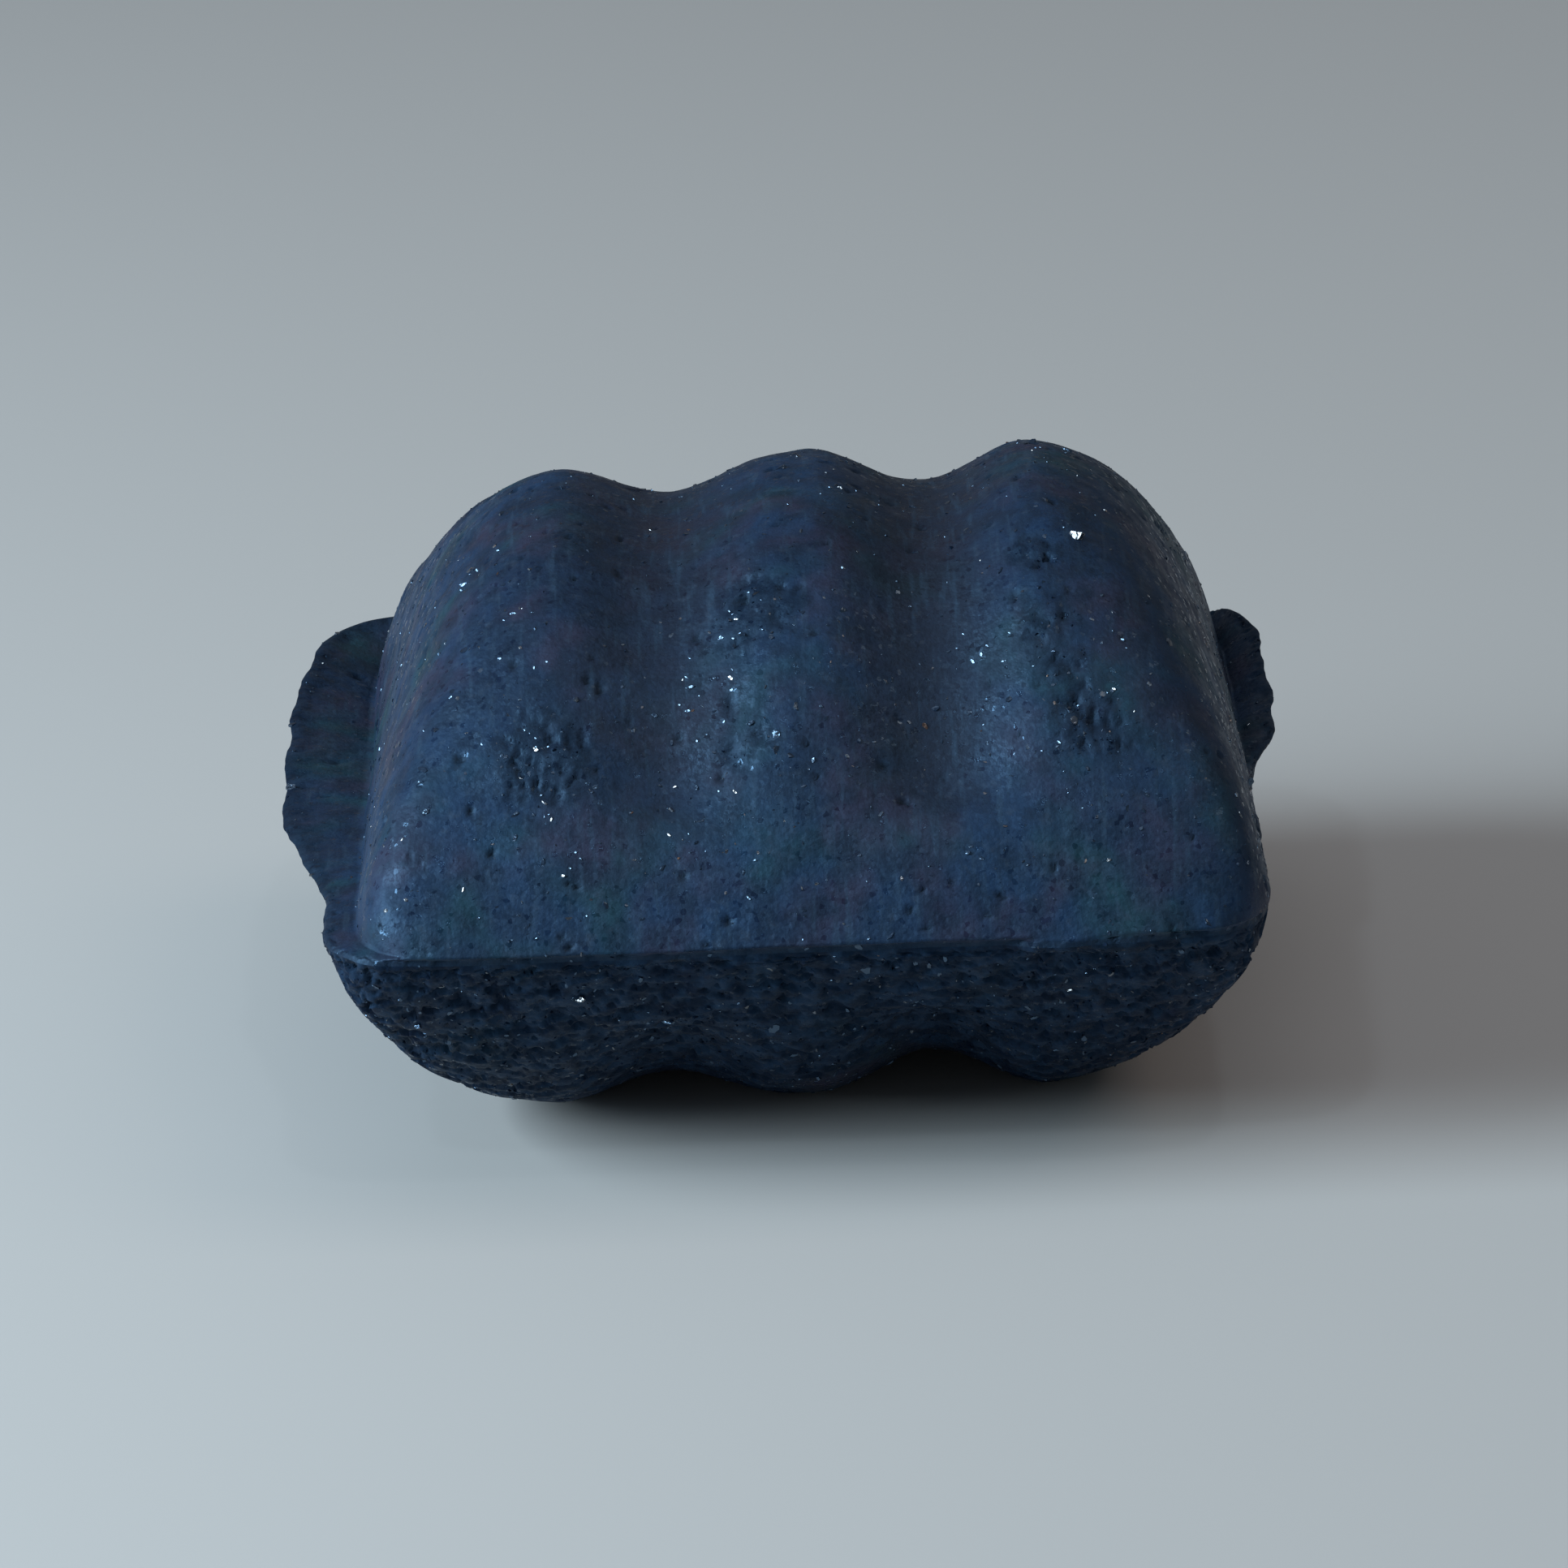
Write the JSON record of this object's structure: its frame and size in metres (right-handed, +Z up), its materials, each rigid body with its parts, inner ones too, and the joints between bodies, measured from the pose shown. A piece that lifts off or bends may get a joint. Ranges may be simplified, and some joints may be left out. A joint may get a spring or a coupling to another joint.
{
  "type": "coconut charcoal briquette",
  "caption": "Pressed charcoal briquette, a thick rounded pillow with ribs along both faces and a thin broken flash round its seam",
  "frame": {"origin": "on the ground, under the middle of the bounding box", "axes": "X across the ribs, Y along the ribs, Z up out of the upper face"},
  "size_m": [0.0532, 0.05, 0.0318],
  "materials": {
    "charcoal": "matte"
  },
  "bodies": {
    "root": {"briquette": "charcoal"}
  },
  "joints": []
}
